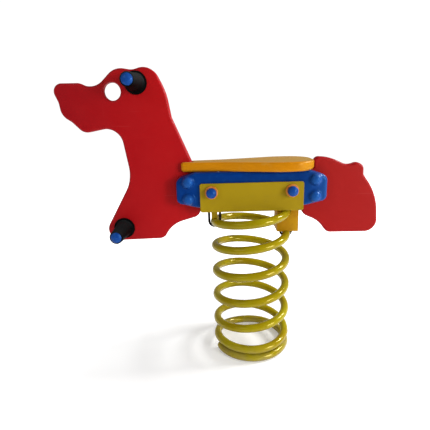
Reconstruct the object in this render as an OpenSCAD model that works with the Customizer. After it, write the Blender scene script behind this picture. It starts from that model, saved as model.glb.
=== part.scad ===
// Spring rider: a dog cut from board, carried on one coil spring.
// Millimetres, +Z up, nose towards -X. The origin is on the ground, on the axis of the spring.

/* [Spring] */
// Diameter of the spring wire
wire_d = 20; // [17:0.5:22]
// Diameter of the coil at the middle of the wire
coil_d = 180; // [170:1:190]
// Turns of the wire from end to end
turns = 6.5; // [5.5:1:7.5]
// Direction in which the bottom end lies, seen from above
start_angle = 200; // [195:1:205]
// Rise of one open turn
pitch = 68.8; // [60:0.2:75]
// Rise of the last turn, under the bracket
top_pitch = 60; // [54:1:66]
// Part of the first turn that lies flat on the ground
foot_turns = 0.7; // [0.65:0.01:0.72]
// Gap between the wire and its own end where it steps over it
end_gap = 2.5; // [2:0.1:4]
// Depth of the flat ground on the underside of the first turn
foot_cut = 0.5; // [0.3:0.1:0.8]

/* [Bracket] */
// How far the bracket reaches past the clamp block at each end
bracket_over = 6; // [2:0.5:12]
// Height of its side plates
bracket_h = 69; // [64:1:76]
// Width over both side plates
bracket_w = 96; // [90:1:104]
// Thickness of the steel plates
plate_t = 6; // [4:0.5:8]
// How far the side plates reach below the web
bracket_drop = 3.5; // [2:0.5:5]
// Radius of the corners of the side plates
plate_corner_r = 5; // [2:0.5:8]

/* [Spring clamps] */
// Diameter of the U-bolt rod
rod_d = 6; // [6:0.5:8]
// Width of the clamp block along the bracket
block_w = 52; // [48:1:60]
// Depth of the clamp block across the bracket
block_depth = 50; // [40:1:56]
// Depth of the wire saddle across the bracket
saddle_depth = 40; // [30:1:50]
// Room between the wire and the parts that hold it
wire_gap = 0.6; // [0.5:0.1:1]

/* [Boards] */
// Thickness of the front and rear panels
panel_t = 20; // [16:0.5:24]
// Rounding of the panel edges
panel_edge_r = 5; // [2:0.5:6]
// Diameter of the eye hole
eye_d = 40; // [30:1:48]
// Length of the seat
seat_l = 316; // [306:1:318]
// Width of the seat at its widest
seat_w = 140; // [130:1:160]
// Width of the seat at its front end
seat_nose_w = 48; // [44:1:56]
// Thickness of the seat
seat_t = 22.5; // [19:0.5:26]
// Rounding of the seat's lower edge
seat_edge_r = 7; // [3:0.5:8]
// Room between the seat and the panels
seat_gap = 1; // [0.5:0.1:2]

/* [Shells] */
// Distance of the shells' ends from the panel bolts
shell_end = 29; // [26:0.5:36]
// Height of the shells
shell_h = 84.5; // [80:0.5:91]
// Wall of the shells
shell_wall = 5; // [4:0.5:7]
// Rounding of the outer edge of the shells
shell_edge_r = 8; // [4:0.5:10]
// Diameter of the bosses round the bolts
boss_d = 26; // [24:0.5:30]

/* [Bolts] */
// Distance of the bracket bolts from the ends of the bracket
bracket_bolt_inset = 27.5; // [20:0.5:36]
// Height of the bracket bolts above the web
bracket_bolt_z = 38.5; // [30:0.5:44]
// Diameter of the bracket bolts
bracket_bolt_d = 10; // [8:0.5:12]
// Room between the bolt domes and the ends of the bracket
dome_gap = 10.5; // [6:0.5:16]
// Distance of the panel bolts from the upper and lower edge of the shells
panel_bolt_inset = 22.25; // [19:0.25:25]
// Diameter of the panel bolts
panel_bolt_d = 8; // [6:0.5:10]
// Diameter of the bolt domes
dome_d = 34; // [32:0.5:36]
// Diameter of the rings under the bolt caps
cap_base_d = 31; // [29:0.5:34]
// Thickness of the rings under the bolt caps
cap_base_t = 4; // [3:0.5:6]
// Diameter of the bolt caps
cap_d = 24; // [24:0.5:27]
// Room round a bolt in its hole
bolt_gap = 0.25; // [0.15:0.05:0.5]

/* [Grips] */
// Distance of the handle from the nape of the neck
handle_inset = 67; // [62:1:80]
// Depth of the handle below the top of the head
handle_drop = 42; // [40:1:50]
// Distance of the foot peg from the front of the paw
foot_inset = 65; // [60:1:80]
// Height of the foot peg above the underside of the paw
foot_rise = 35; // [32:1:46]
// Reach of a grip from the face of the panel
grip_l = 79; // [70:1:110]
// Diameter of the flange against the panel
flange_d = 52; // [46:1:54]
// Diameter of a grip at its root
grip_root_d = 40; // [36:0.5:42]
// Wall of a grip round the nut in its tip
grip_wall = 2.6; // [2:0.1:4]
// Diameter of the stud through a pair of grips
stud_d = 12; // [10:0.5:13]

/* [Hidden] */

$fn = 64;
wire_sides = 12;
wire_rings = 36;
arc_step = 14;
cut = 1;
film = 0.05;

red = [0.72, 0.06, 0.08];
blue = [0.05, 0.25, 0.62];
yellow = [0.74, 0.64, 0.06];
orange = [0.93, 0.58, 0.05];
steel = [0.6, 0.6, 0.62];
dark = [0.16, 0.14, 0.12];
black = [0.05, 0.05, 0.05];

// Wire of the spring. It lies flat for foot_turns, steps over its own end within step_turns,
// opens to the full pitch after open_turns and flattens again under the bracket.
wire_r = wire_d / 2;
coil_r = coil_d / 2;
step_turns = 0.35;
open_turns = 1.15;
open_blend = 0.3;
top_turns = 1.3;
top_blend = 0.4;
tail_turns = 0.3;
tail_pitch = 24;
foot_height = wire_r - foot_cut;
function ease(x) = let (k = max(0, min(1, x))) k * k * (3 - 2 * k);
function ramp(x, w) = x <= 0 ? 0 : (x < w ? x * x / (2 * w) : x - w / 2);
function wire_z(t) = foot_height
    + (wire_d + end_gap) * ease((t - foot_turns) / step_turns)
    + pitch * ramp(t - open_turns, open_blend)
    - (pitch - top_pitch) * ramp(t - turns + top_turns, top_blend)
    - (top_pitch - tail_pitch) * ramp(t - turns + tail_turns, tail_turns);
function wire_angle(t) = start_angle + 360 * t;
function wire_slope(t) = (wire_z(t + 0.01) - wire_z(t - 0.01)) / (0.02 * PI * coil_d);
function wire_point(t) = [coil_r * cos(wire_angle(t)), coil_r * sin(wire_angle(t)), wire_z(t)];
wire_count = ceil(turns * wire_rings);
function wire_turn(i) = turns * i / wire_count;

// Least gap between one turn and another, measured along the middle of the wire.
gap_points = [for (i = [0:wire_count * 2]) wire_point(turns * i / (wire_count * 2))];
gap_reach = wire_rings;
least_gap = min([
    for (i = [0:len(gap_points) - 1])
        for (j = [i + gap_reach:1:len(gap_points) - 1])
            norm(gap_points[i] - gap_points[j]) - wire_d
]);
echo(least_gap_of_spring = least_gap);

// Where the wire passes the rear clamp, last time and the time before, and the front clamp.
first_rear_turn = (360 - start_angle) / 360;
top_rear_turn = first_rear_turn + floor(turns - first_rear_turn);
low_rear_turn = top_rear_turn - 1;
front_turn = top_rear_turn - 0.5;

// Heights that the rider hangs on: underside and top of the bracket's web.
web_under = wire_z(turns) + wire_r + wire_gap / 2;
deck_z = web_under + plate_t;
side_z = web_under - bracket_drop;
plate_inner_y = bracket_w / 2 - plate_t;

// Ends of the bracket, past the spring clamps
bracket_end = coil_r + block_w / 2 + bracket_over;
bracket_l = 2 * bracket_end;
clamp_top = web_under - film;

// U-bolts
rod_r = rod_d / 2;
rod_gap = 0.8;
leg_half = wire_r + rod_r + rod_gap;
bend_rise = rod_gap - wire_gap * 0.6;
rod_hole_d = rod_d + wire_gap;
washer_t = 1.6;
u_washer_d = 2 * rod_d;
u_nut_af = 1.625 * rod_d;
u_nut_h = 0.8 * rod_d;
thread_end = 4;
leg_top = deck_z + washer_t + u_nut_h + thread_end;
leg_clear = 3;

// Shells and what they hold
panel_y = panel_t / 2;
shell_y = plate_inner_y;
shell_depth = shell_y - panel_y;
shell_top = deck_z + shell_h;
tongue_x = 60;
end_room = 2;
tongue_gap = 0.5;

// Bolts
bracket_bolt_x = bracket_end - bracket_bolt_inset;
bracket_hole_d = bracket_bolt_d + 2 * bolt_gap;
bracket_face = bracket_w / 2;
cap_face = bracket_face + cap_base_t;
bracket_af = 1.6 * bracket_bolt_d;
bracket_head_h = 0.64 * bracket_bolt_d;
bracket_nut_h = 0.84 * bracket_bolt_d;
bolt_end = 1.5;
cap_wall = 2;
cap_room = 0.5;
panel_bolt_x = bracket_end + dome_gap + dome_d / 2;
panel_hole_d = panel_bolt_d + 2 * bolt_gap;
panel_washer_d = 2 * panel_bolt_d;
panel_af = 1.625 * panel_bolt_d;
panel_head_h = 0.66 * panel_bolt_d;
panel_nut_h = 0.8 * panel_bolt_d;
dome_wall = 2.5;
dome_cove = 3;
dome_lip = 0.6;
panel_bolt_heights = [deck_z + panel_bolt_inset, shell_top - panel_bolt_inset];

// Grips
stud_hole_d = stud_d + 2 * bolt_gap;
grip_washer_t = 2.5;
grip_nut_af = 1.5 * stud_d;
grip_nut_h = 0.8 * stud_d;
nut_room = 2.5;
grip_bore_d = grip_nut_af / cos(30) + 2 * nut_room;
grip_tip_d = grip_bore_d + 2 * grip_wall;
stud_end = 2;
grip_cap_plug = 3;
grip_cap_h = 5;
grip_cap_d = grip_bore_d - 2 * bolt_gap;
grip_bore_depth = grip_washer_t + grip_nut_h + stud_end + grip_cap_plug + 1;
flange_t = 4;
grip_crown_r = 2;
flange_edge = 1;
flange_cove = (flange_d - grip_root_d) / 2 - flange_edge;
grip_seat_y = panel_y + grip_l - grip_bore_depth;
stud_half = grip_seat_y + grip_washer_t + grip_nut_h + stud_end;

// Seat
seat_front = -166;
seat_back = seat_front + seat_l;
seat_wide_x = seat_back - 0.265 * seat_l;
seat_waist_x = seat_front + 0.323 * seat_l;
seat_waist_w = seat_nose_w + 20;
seat_back_w = seat_w - 14;
seat_screw_x = 78;
seat_screw_y = panel_y + shell_depth / 2;
seat_screw_d = 6;
seat_screw_grip = 13;
seat_screw_head_d = 12;
seat_screw_head_h = 4;
seat_rim_r = 0.7 * seat_edge_r;
neck_x = -140.5;
neck_root_r = 3;
seat_slot_end = neck_x + neck_root_r;
seat_level = shell_h + seat_t;

// Outlines, counter-clockwise, as corners of [x, height, radius]. Heights count from the web. The
// panels keep their distance from the ends of the bracket, and the head from the seat.
tongue_low = leg_top - deck_z + leg_clear;
tongue_high = shell_h - tongue_gap;
tongue_r = 8;
belly_x = bracket_end + end_room;
paw_x = -belly_x - 259;
paw_z = -89;
nape_x = -belly_x - 69;
nape_z = seat_level + 162;
head_top = seat_level + 225;
front_corners = [
    [nape_x - 268, nape_z + 26, 19], [nape_x - 251, nape_z - 17, 34], [nape_x - 248, nape_z - 47, 33],
    [nape_x - 226, nape_z - 61, 33], [nape_x - 200, nape_z - 88, 25], [nape_x - 115, nape_z - 73, 39],
    [nape_x - 97, 68, 90],
    [paw_x, paw_z, 29], [paw_x + 164, paw_z + 4, 21], [paw_x + 185, paw_z + 41, 72], [-belly_x, -27, 22],
    [-belly_x, tongue_low, tongue_r], [-tongue_x, tongue_low, tongue_r],
    [-tongue_x, tongue_high, tongue_r], [neck_x, tongue_high, neck_root_r], [neck_x, seat_level, 25],
    [nape_x + 9, nape_z - 57, 21], [nape_x, nape_z, 148], [nape_x - 31, head_top, 37], [nape_x - 73, head_top - 14, 40],
    [nape_x - 113, head_top - 6, 42], [nape_x - 166, head_top - 55, 42], [nape_x - 198, head_top - 38, 19]
];
handle_x = nape_x - handle_inset;
handle_z = head_top - handle_drop;
foot_x = paw_x + foot_inset;
foot_z = paw_z + foot_rise;
eye_x = handle_x - 57;
eye_z = handle_z - 17;
rump_x = seat_back + seat_gap;
tail_x = max(belly_x, rump_x - 19);
rear_corners = [
    [rump_x + 2, seat_level + 5, 12], [rump_x, tongue_high, neck_root_r], [tongue_x, tongue_high, tongue_r],
    [tongue_x, tongue_low, tongue_r], [belly_x, tongue_low, tongue_r], [belly_x + 4, -30, 22],
    [tail_x + 36, -47, 73], [tail_x + 60, -79, 17], [tail_x + 185, -80, 29], [tail_x + 177, 17, 150],
    [tail_x + 141, seat_level - 42, 8], [tail_x + 140, seat_level - 5, 18], [tail_x + 102, seat_level - 19, 30],
    [tail_x + 59, seat_level + 2, 103]
];
shell_half = panel_bolt_x + shell_end;
shell_flat_half = shell_half - 44.5;
shell_foot_half = shell_half - 50;
shell_corners = [
    [-shell_flat_half, shell_h, 14], [-shell_half, shell_h - 14.5, 18], [-shell_half, 12, 14],
    [-shell_foot_half, 0, 20], [shell_foot_half, 0, 20], [shell_half, 12, 14],
    [shell_half, shell_h - 14.5, 18], [shell_flat_half, shell_h, 14]
];
seat_half_corners = [
    [seat_front, -seat_nose_w / 2, 9], [seat_waist_x, -seat_waist_w / 2, 0.484 * seat_l],
    [seat_wide_x, -seat_w / 2, 0.355 * seat_l], [seat_back, -seat_back_w / 2, 0.177 * seat_l]
];
seat_corners = concat(
    seat_half_corners,
    [for (i = [len(seat_half_corners) - 1:-1:0]) let (c = seat_half_corners[i]) [c[0], -c[1], c[2]]]
);

// Corner b between a and c as points on an arc of its radius.
function unit(v) = v / norm(v);
function flat(p) = [p[0], p[1]];
function spun(p, k) = [p[0] * cos(k) - p[1] * sin(k), p[0] * sin(k) + p[1] * cos(k)];
function round_corner(a, b, c) = let (
        u = unit(flat(a) - flat(b)),
        v = unit(flat(c) - flat(b)),
        half = acos(u * v) / 2,
        mid = flat(b) + unit(u + v) * b[2] / sin(half),
        from = flat(b) + u * b[2] / tan(half) - mid,
        turn = (cross(u, v) < 0 ? 1 : -1) * (180 - 2 * half),
        n = ceil(abs(turn) / arc_step)
    ) [for (i = [0:n]) mid + spun(from, turn * i / n)];
function outline(corners) = let (n = len(corners)) [
    for (i = [0:n - 1]) each round_corner(corners[(i + n - 1) % n], corners[i], corners[(i + 1) % n])
];

// The outline drawn in by d, each point along its own normal.
function drawn_in(points, d) = let (n = len(points)) [
    for (i = [0:n - 1])
        let (
            before = unit(points[i] - points[(i + n - 1) % n]),
            after = unit(points[(i + 1) % n] - points[i])
        )
        points[i] + d * spun(unit(before + after), 90)
];

// Triangles that fill an outline. Ears are cut off it one at a time until three points are left.
function inside(q, a, b, c) =
    cross(b - a, q - a) >= 0 && cross(c - b, q - b) >= 0 && cross(a - c, q - c) >= 0;
function is_ear(p, a, b, c, ids) =
    cross(p[b] - p[a], p[c] - p[b]) > 0
    && len([for (i = ids) if (i != a && i != b && i != c && inside(p[i], p[a], p[b], p[c])) i]) == 0;
function around(ids, k) = ids[(k + len(ids)) % len(ids)];
function find_ear(p, ids, k, tries) =
    tries == 0 || is_ear(p, around(ids, k - 1), around(ids, k), around(ids, k + 1), ids)
    ? k % len(ids)
    : find_ear(p, ids, k + 1, tries - 1);
function filled(p, ids, k, done) = len(ids) == 3
    ? concat(done, [ids])
    : let (
        e = find_ear(p, ids, k, len(ids)),
        ear = [around(ids, e - 1), ids[e], around(ids, e + 1)]
    )
    filled(p, [for (i = ids) if (i != ids[e]) i], e, concat(done, [ear]));

// Closed skin through copies of an outline. levels holds [height, draw-in] from the bottom up.
module loft(points, levels) {
    n = len(points);
    m = len(levels);
    ids = [for (i = [0:n - 1]) i];
    skin = [for (l = levels) each [for (p = drawn_in(points, l[1])) [p[0], p[1], l[0]]]];
    sides = [
        for (k = [0:m - 2])
            for (i = ids)
                let (a = k * n + i, b = k * n + (i + 1) % n)
                each [[a, a + n, b + n], [a, b + n, b]]
    ];
    bottom = filled(drawn_in(points, levels[0][1]), ids, 0, []);
    lid = filled(drawn_in(points, levels[m - 1][1]), ids, 0, []);
    top = [for (f = lid) [for (i = [2, 1, 0]) (m - 1) * n + f[i]]];
    polyhedron(skin, concat(bottom, top, sides));
}

// Levels of a rounded edge of radius r, rising to or from height h.
round_steps = 2;
round_angles = [for (i = [0:round_steps]) 90 * i / round_steps];
function lower_edge(r) = [for (k = round_angles) [r - r * cos(k), r - r * sin(k)]];
function upper_edge(h, r) = [for (k = round_angles) [h - r + r * sin(k), r - r * cos(k)]];

// Board in the plane of the rider, with its middle at y = 0.
module board(corners, t, r) {
    translate([0, t / 2, deck_z])
        rotate([90, 0, 0])
            loft(outline(corners), concat(lower_edge(r), upper_edge(t, r)));
}

// Puts a shape that points along +Z at a place on the rider's left (side = -1) or right side.
module facing(x, y, z, side) {
    translate([x, side * y, z])
        rotate([-90 * side, 0, 0])
            children();
}

// Straight hole right across the rider.
module cross_hole(x, z, d) {
    translate([x, 0, z])
        rotate([90, 0, 0])
            cylinder(d = d, h = 2 * bracket_w, center = true);
}

module hex(af, h) {
    cylinder(d = af / cos(30), h = h, $fn = 6);
}

module ring(d, bore, h) {
    difference() {
        cylinder(d = d, h = h);
        translate([0, 0, -cut])
            cylinder(d = bore, h = h + 2 * cut);
    }
}

// Part of a ball that stands h high on a round base of diameter d.
module ball_cap(d, h) {
    r = (d * d / 4 + h * h) / (2 * h);
    intersection() {
        translate([0, 0, h - r])
            sphere(r = r);
        cylinder(d = d, h = h + cut);
    }
}

// Groove that takes the wire where it passes turn t, at the rear (side = 1) or the front.
module wire_groove(t, side, open_top) {
    r = wire_r + wire_gap;
    translate([0, 0, wire_z(t)])
        rotate([side * atan(wire_slope(t)), 0, 0])
            rotate_extrude()
                translate([coil_r, 0]) {
                    circle(r = r);
                    if (open_top)
                        translate([-r, 0])
                            square([2 * r, 2 * r]);
                }
}

module spring() {
    rings = [
        for (i = [0:wire_count])
            let (
                t = wire_turn(i),
                a = wire_angle(t),
                s = wire_slope(t),
                out = [cos(a), sin(a), 0],
                up = unit([s * sin(a), -s * cos(a), 1])
            )
            each [
                for (j = [0:wire_sides - 1])
                    let (k = 360 * j / wire_sides)
                    wire_point(t) + wire_r * (cos(k) * out + sin(k) * up)
            ]
    ];
    skin = [
        for (i = [0:wire_count - 1])
            for (j = [0:wire_sides - 1])
                let (
                    a = i * wire_sides + j,
                    b = i * wire_sides + (j + 1) % wire_sides
                )
                each [[a, b, b + wire_sides], [a, b + wire_sides, a + wire_sides]]
    ];
    first = [for (j = [wire_sides - 1:-1:0]) j];
    last = [for (j = [0:wire_sides - 1]) wire_count * wire_sides + j];
    color(yellow)
        difference() {
            polyhedron(rings, concat([first, last], skin));
            translate([-coil_d, -coil_d, -wire_d])
                cube([2 * coil_d, 2 * coil_d, wire_d]);
        }
}

// The four legs of the two U-bolts, at the height z.
module at_legs(z) {
    for (side = [-1, 1])
        for (leg = [-1, 1])
            translate([side * coil_r + leg * leg_half, 0, z])
                children();
}

module side_plate() {
    flat_l = bracket_l - 2 * plate_corner_r;
    flat_h = bracket_h - 2 * plate_corner_r;
    linear_extrude(plate_t) {
        translate([-bracket_l / 2, plate_corner_r])
            square([bracket_l, flat_h]);
        translate([-flat_l / 2, 0])
            square([flat_l, bracket_h]);
        for (x = [-flat_l / 2, flat_l / 2])
            for (z = [plate_corner_r, bracket_h - plate_corner_r])
                translate([x, z])
                    circle(r = plate_corner_r);
    }
}

module spring_bracket() {
    color(yellow)
        difference() {
            union() {
                for (y = [-plate_inner_y, plate_inner_y + plate_t])
                    translate([0, y, side_z])
                        rotate([90, 0, 0])
                            side_plate();
                translate([-bracket_l / 2, -plate_inner_y - plate_t / 2, web_under])
                    cube([bracket_l, 2 * plate_inner_y + plate_t, plate_t]);
            }
            at_legs(web_under - cut)
                cylinder(d = rod_hole_d, h = plate_t + 2 * cut);
            for (x = [-bracket_bolt_x, bracket_bolt_x])
                cross_hole(x, deck_z + bracket_bolt_z, bracket_hole_d);
        }
}

module clamp_block() {
    block_foot = wire_z(low_rear_turn) + wire_r / 2 + wire_gap;
    color(orange)
        difference() {
            translate([coil_r - block_w / 2, -block_depth / 2, block_foot])
                cube([block_w, block_depth, clamp_top - block_foot]);
            wire_groove(top_rear_turn, 1, true);
            wire_groove(low_rear_turn, 1, false);
            at_legs(block_foot - cut)
                cylinder(d = rod_hole_d, h = web_under - block_foot + 2 * cut);
        }
}

module wire_saddle() {
    half = 0.7 * wire_r;
    saddle_foot = wire_z(front_turn) + wire_r / 2;
    color(yellow)
        difference() {
            translate([-coil_r - half, -saddle_depth / 2, saddle_foot])
                cube([2 * half, saddle_depth, clamp_top - saddle_foot]);
            wire_groove(front_turn, -1, false);
        }
}

// U-bolt hung under the wire where it passes turn t.
module u_bolt(x, t) {
    bend_z = wire_z(t) + bend_rise;
    color(dark)
        translate([x, 0, bend_z]) {
            rotate([90, 0, 0])
                rotate([0, 0, 180])
                    rotate_extrude(angle = 180)
                        translate([leg_half, 0])
                            circle(d = rod_d);
            for (leg = [-1, 1])
                translate([leg * leg_half, 0, 0])
                    cylinder(d = rod_d, h = leg_top - bend_z);
        }
}

module front_u_bolt() {
    u_bolt(-coil_r, front_turn);
}

module rear_u_bolt() {
    u_bolt(coil_r, low_rear_turn);
}

module u_bolt_washers() {
    color(steel)
        at_legs(deck_z)
            ring(u_washer_d, rod_hole_d, washer_t);
}

module u_bolt_nuts() {
    color(steel)
        at_legs(deck_z + washer_t)
            difference() {
                hex(u_nut_af, u_nut_h);
                translate([0, 0, -cut])
                    cylinder(d = rod_hole_d, h = u_nut_h + 2 * cut);
            }
}

// Holes of the bolts that cross the rider at the front (side = -1) or the rear.
module bolt_holes(side) {
    cross_hole(side * bracket_bolt_x, deck_z + bracket_bolt_z, bracket_hole_d);
    for (z = panel_bolt_heights)
        cross_hole(side * panel_bolt_x, z, panel_hole_d);
}

module front_panel() {
    color(red)
        difference() {
            board(front_corners, panel_t, panel_edge_r);
            bolt_holes(-1);
            cross_hole(eye_x, deck_z + eye_z, eye_d);
            cross_hole(handle_x, deck_z + handle_z, stud_hole_d);
            cross_hole(foot_x, deck_z + foot_z, stud_hole_d);
        }
}

module rear_panel() {
    color(red)
        difference() {
            board(rear_corners, panel_t, panel_edge_r);
            bolt_holes(1);
        }
}

// Moulded shell on the rider's left: hollow towards the panels, with a boss round each bolt
// and upright ribs between them.
rib_t = 4;
rib_x = [-45, 0, 45];
module shell() {
    points = outline(shell_corners);
    difference() {
        union() {
            translate([0, -panel_y, deck_z])
                rotate([90, 0, 0])
                    difference() {
                        loft(points, concat([[0, 0]], upper_edge(shell_depth, shell_edge_r)));
                        loft(points, [[-cut, shell_wall], [shell_depth - shell_wall, shell_wall]]);
                    }
            for (side = [-1, 1]) {
                facing(side * bracket_bolt_x, panel_y, deck_z + bracket_bolt_z, -1)
                    cylinder(d = boss_d, h = shell_depth - shell_wall / 2);
                for (z = panel_bolt_heights)
                    facing(side * panel_bolt_x, panel_y, z, -1)
                        cylinder(d = boss_d, h = shell_depth - shell_wall / 2);
            }
            for (x = rib_x)
                translate([x - rib_t / 2, -shell_y + shell_wall / 2, deck_z + shell_wall / 2])
                    cube([rib_t, shell_depth - shell_wall / 2, shell_h - shell_wall]);
        }
        for (side = [-1, 1]) {
            bolt_holes(side);
            translate([side * seat_screw_x, -seat_screw_y, shell_top - 2 * shell_wall])
                cylinder(d = seat_screw_d + 2 * bolt_gap, h = 3 * shell_wall);
        }
    }
}

module left_shell() {
    color(blue)
        shell();
}

module right_shell() {
    color(blue)
        mirror([0, 1, 0])
            shell();
}

module at_seat_screws(z) {
    for (x = [-seat_screw_x, seat_screw_x])
        for (y = [-seat_screw_y, seat_screw_y])
            translate([x, y, z])
                children();
}

module seat() {
    slot_w = panel_t + 2 * seat_gap;
    color(orange)
        difference() {
            translate([0, 0, shell_top])
                loft(
                    outline(seat_corners),
                    concat(lower_edge(seat_edge_r), upper_edge(seat_t, seat_rim_r))
                );
            translate([seat_front - cut, -slot_w / 2, shell_top - cut])
                cube([seat_slot_end - seat_front + cut, slot_w, seat_t + 2 * cut]);
            at_seat_screws(shell_top - cut)
                cylinder(d = seat_screw_d + 2 * bolt_gap, h = seat_screw_grip + 2 * cut);
        }
}

module seat_screws() {
    color(steel)
        at_seat_screws(shell_top - shell_wall - seat_screw_head_h) {
            cylinder(d = seat_screw_head_d, h = seat_screw_head_h);
            cylinder(d = seat_screw_d, h = seat_screw_head_h + shell_wall + seat_screw_grip);
        }
}

module at_bracket_bolts() {
    for (x = [-bracket_bolt_x, bracket_bolt_x])
        translate([x, 0, deck_z + bracket_bolt_z])
            children();
}

module bracket_bolts() {
    shank = 2 * cap_face + bracket_nut_h + bolt_end;
    color(steel)
        at_bracket_bolts() {
            facing(0, cap_face, 0, -1)
                hex(bracket_af, bracket_head_h);
            facing(0, -cap_face, 0, 1)
                cylinder(d = bracket_bolt_d, h = shank);
        }
}

module bracket_nuts() {
    color(steel)
        at_bracket_bolts()
            facing(0, cap_face, 0, 1)
                difference() {
                    hex(bracket_af, bracket_nut_h);
                    translate([0, 0, -cut])
                        cylinder(d = bracket_hole_d, h = bracket_nut_h + 2 * cut);
                }
}

module cap_bases() {
    color(orange)
        at_bracket_bolts()
            for (side = [-1, 1])
                facing(0, bracket_face, 0, side)
                    ring(cap_base_d, bracket_hole_d, cap_base_t);
}

// Cap over a bolt end: a short drum with a rounded top, hollow inside.
module bolt_cap() {
    room_h = bracket_nut_h + bolt_end + cap_room;
    room_d = bracket_af / cos(30) + 2 * cap_room;
    crown = 6;
    drum = room_h + cap_wall - crown / 2;
    difference() {
        union() {
            cylinder(d = cap_d, h = drum);
            translate([0, 0, drum])
                ball_cap(cap_d, crown);
        }
        translate([0, 0, -cut])
            cylinder(d = room_d, h = room_h + cut);
    }
}

module bolt_caps() {
    color(blue)
        at_bracket_bolts()
            for (side = [-1, 1])
                facing(0, cap_face, 0, side)
                    bolt_cap();
}

module at_panel_bolts() {
    for (x = [-panel_bolt_x, panel_bolt_x])
        for (z = panel_bolt_heights)
            translate([x, 0, z])
                children();
}

module panel_bolts() {
    shank = 2 * (shell_y + washer_t) + panel_nut_h + bolt_end;
    color(steel)
        at_panel_bolts() {
            facing(0, shell_y + washer_t, 0, -1)
                hex(panel_af, panel_head_h);
            facing(0, -shell_y - washer_t, 0, 1)
                cylinder(d = panel_bolt_d, h = shank);
        }
}

module panel_washers() {
    color(steel)
        at_panel_bolts()
            for (side = [-1, 1])
                facing(0, shell_y, 0, side)
                    ring(panel_washer_d, panel_hole_d, washer_t);
}

module panel_nuts() {
    color(steel)
        at_panel_bolts()
            facing(0, shell_y + washer_t, 0, 1)
                difference() {
                    hex(panel_af, panel_nut_h);
                    translate([0, 0, -cut])
                        cylinder(d = panel_hole_d, h = panel_nut_h + 2 * cut);
                }
}

// Round cover over a panel bolt. Its foot runs out in a cove on the shell, and the room inside
// steps in with the washer, the nut and the end of the bolt.
module bolt_dome() {
    washer_room = washer_t + cap_room;
    nut_room = washer_room + panel_nut_h;
    end_room_h = nut_room + bolt_end;
    drum_d = dome_d - 2 * dome_cove;
    difference() {
        union() {
            ball_cap(drum_d, end_room_h + dome_wall);
            rotate_extrude()
                difference() {
                    square([dome_d / 2, dome_cove]);
                    translate([dome_d / 2, dome_cove + dome_lip])
                        circle(r = dome_cove);
                }
        }
        translate([0, 0, -cut]) {
            cylinder(d = panel_washer_d + 2 * cap_room, h = washer_room + cut);
            cylinder(d = panel_af / cos(30) + 2 * cap_room, h = nut_room + cut);
            cylinder(d = panel_bolt_d + 2 * cap_room, h = end_room_h + cut);
        }
    }
}

module bolt_domes() {
    color(blue)
        at_panel_bolts()
            for (side = [-1, 1])
                facing(0, shell_y, 0, side)
                    bolt_dome();
}

// Stud right through the panel, with a grip, washer and nut on each side.
module stud(x, z) {
    color(steel)
        translate([x, 0, deck_z + z])
            rotate([90, 0, 0])
                cylinder(d = stud_d, h = 2 * stud_half, center = true);
}

module handle_stud() {
    stud(handle_x, handle_z);
}

module foot_stud() {
    stud(foot_x, foot_z);
}

// Tapered grip with a flange against the panel and a counterbore for the nut in its tip.
module grip(x, z, side) {
    tip_r = grip_tip_d / 2;
    root_r = grip_root_d / 2;
    flange_r = flange_d / 2;
    cove_mid = [root_r + flange_cove, flange_t + flange_cove];
    cove = [for (k = [270:-15:180]) cove_mid + flange_cove * [cos(k), sin(k)]];
    crown_mid = [tip_r - grip_crown_r, grip_l - grip_crown_r];
    crown = [for (k = [0:30:90]) crown_mid + grip_crown_r * [cos(k), sin(k)]];
    profile = concat(
        [[stud_hole_d / 2, 0], [flange_r, 0], [flange_r, flange_t - flange_edge]],
        cove,
        crown,
        [
            [grip_bore_d / 2, grip_l], [grip_bore_d / 2, grip_l - grip_bore_depth],
            [stud_hole_d / 2, grip_l - grip_bore_depth]
        ]
    );
    color(black)
        facing(x, panel_y, deck_z + z, side)
            rotate_extrude()
                polygon(profile);
}

module handle_grip_left() {
    grip(handle_x, handle_z, -1);
}

module handle_grip_right() {
    grip(handle_x, handle_z, 1);
}

module foot_grip_left() {
    grip(foot_x, foot_z, -1);
}

module foot_grip_right() {
    grip(foot_x, foot_z, 1);
}

// The tips of the four grips, at the distance y from the middle of the rider.
module at_grips(y) {
    for (side = [-1, 1]) {
        facing(handle_x, y, deck_z + handle_z, side)
            children();
        facing(foot_x, y, deck_z + foot_z, side)
            children();
    }
}

module grip_washers() {
    color(steel)
        at_grips(grip_seat_y)
            ring(grip_bore_d - 1, stud_hole_d, grip_washer_t);
}

module grip_nuts() {
    color(steel)
        at_grips(grip_seat_y + grip_washer_t)
            difference() {
                hex(grip_nut_af, grip_nut_h);
                translate([0, 0, -cut])
                    cylinder(d = stud_hole_d, h = grip_nut_h + 2 * cut);
            }
}

module grip_caps() {
    color(blue)
        at_grips(panel_y + grip_l) {
            ball_cap(grip_cap_d, grip_cap_h);
            translate([0, 0, -grip_cap_plug])
                cylinder(d = grip_cap_d, h = grip_cap_plug + cut);
        }
}

spring();
spring_bracket();
clamp_block();
wire_saddle();
front_u_bolt();
rear_u_bolt();
u_bolt_washers();
u_bolt_nuts();
front_panel();
rear_panel();
left_shell();
right_shell();
seat();
seat_screws();
bracket_bolts();
bracket_nuts();
cap_bases();
bolt_caps();
panel_bolts();
panel_washers();
panel_nuts();
bolt_domes();
handle_stud();
foot_stud();
handle_grip_left();
handle_grip_right();
foot_grip_left();
foot_grip_right();
grip_washers();
grip_nuts();
grip_caps();
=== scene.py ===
import math

import bpy
import numpy as np
from mathutils import Matrix, Vector
from mathutils.geometry import tessellate_polygon


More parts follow.
